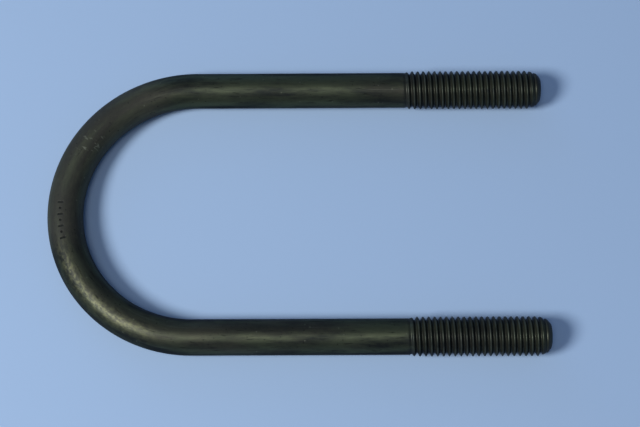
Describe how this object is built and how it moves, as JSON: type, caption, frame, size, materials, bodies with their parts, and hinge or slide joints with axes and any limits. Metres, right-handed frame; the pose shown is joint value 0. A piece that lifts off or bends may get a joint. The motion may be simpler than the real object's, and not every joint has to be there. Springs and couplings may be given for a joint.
{
  "type": "u-bolt",
  "caption": "Round-bow U-bolt: one round steel bar bent to a half circle with parallel legs and a coarse right-hand thread on each end.",
  "frame": {"origin": "centre of curvature of the bow, on the bar's centre plane: the axis of the round pipe or axle that the bolt clamps", "axes": "the U lies flat in the XY plane; +X runs along both legs to their thread ends; +Y is across the legs to the left leg; +Z is along the clamped pipe or axle"},
  "size_m": [0.152, 0.0908, 0.0118],
  "materials": {
    "plain_bar": "black phosphate or oxide with a film of oil, olive brown where it thins; dull with a soft sheen, fine scale and faint draw marks",
    "rolled_thread": "the same black finish, rubbed a little brighter on the crests and darker with oil in the roots"
  },
  "bodies": {
    "root": {"bow": "plain_bar", "left_shank": "plain_bar", "right_shank": "plain_bar", "left_thread": "rolled_thread", "right_thread": "rolled_thread"}
  },
  "joints": []
}
